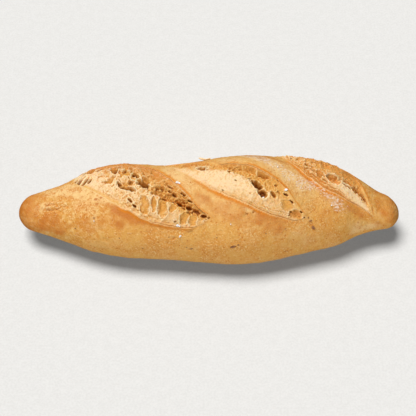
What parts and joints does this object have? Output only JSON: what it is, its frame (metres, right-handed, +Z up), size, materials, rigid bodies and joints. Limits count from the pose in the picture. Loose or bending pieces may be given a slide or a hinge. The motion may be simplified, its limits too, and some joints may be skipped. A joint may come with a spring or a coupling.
{
  "type": "mini baguette",
  "caption": "Small hand-shaped crusty white loaf with blunt tips, slanting open slashes over its top and a flat baked underside.",
  "frame": {"origin": "middle of the flat underside: the centre of the box in plan, on the surface that the loaf rests on", "axes": "+X along the loaf to the tip by the smallest slash, +Y from the shown front to the back, +Z up"},
  "size_m": [0.2, 0.063, 0.0452],
  "materials": {
    "crust": "matt golden-brown baked crust, with paler open crumb in the slashes"
  },
  "bodies": {
    "root": {"loaf": "crust"}
  },
  "joints": []
}
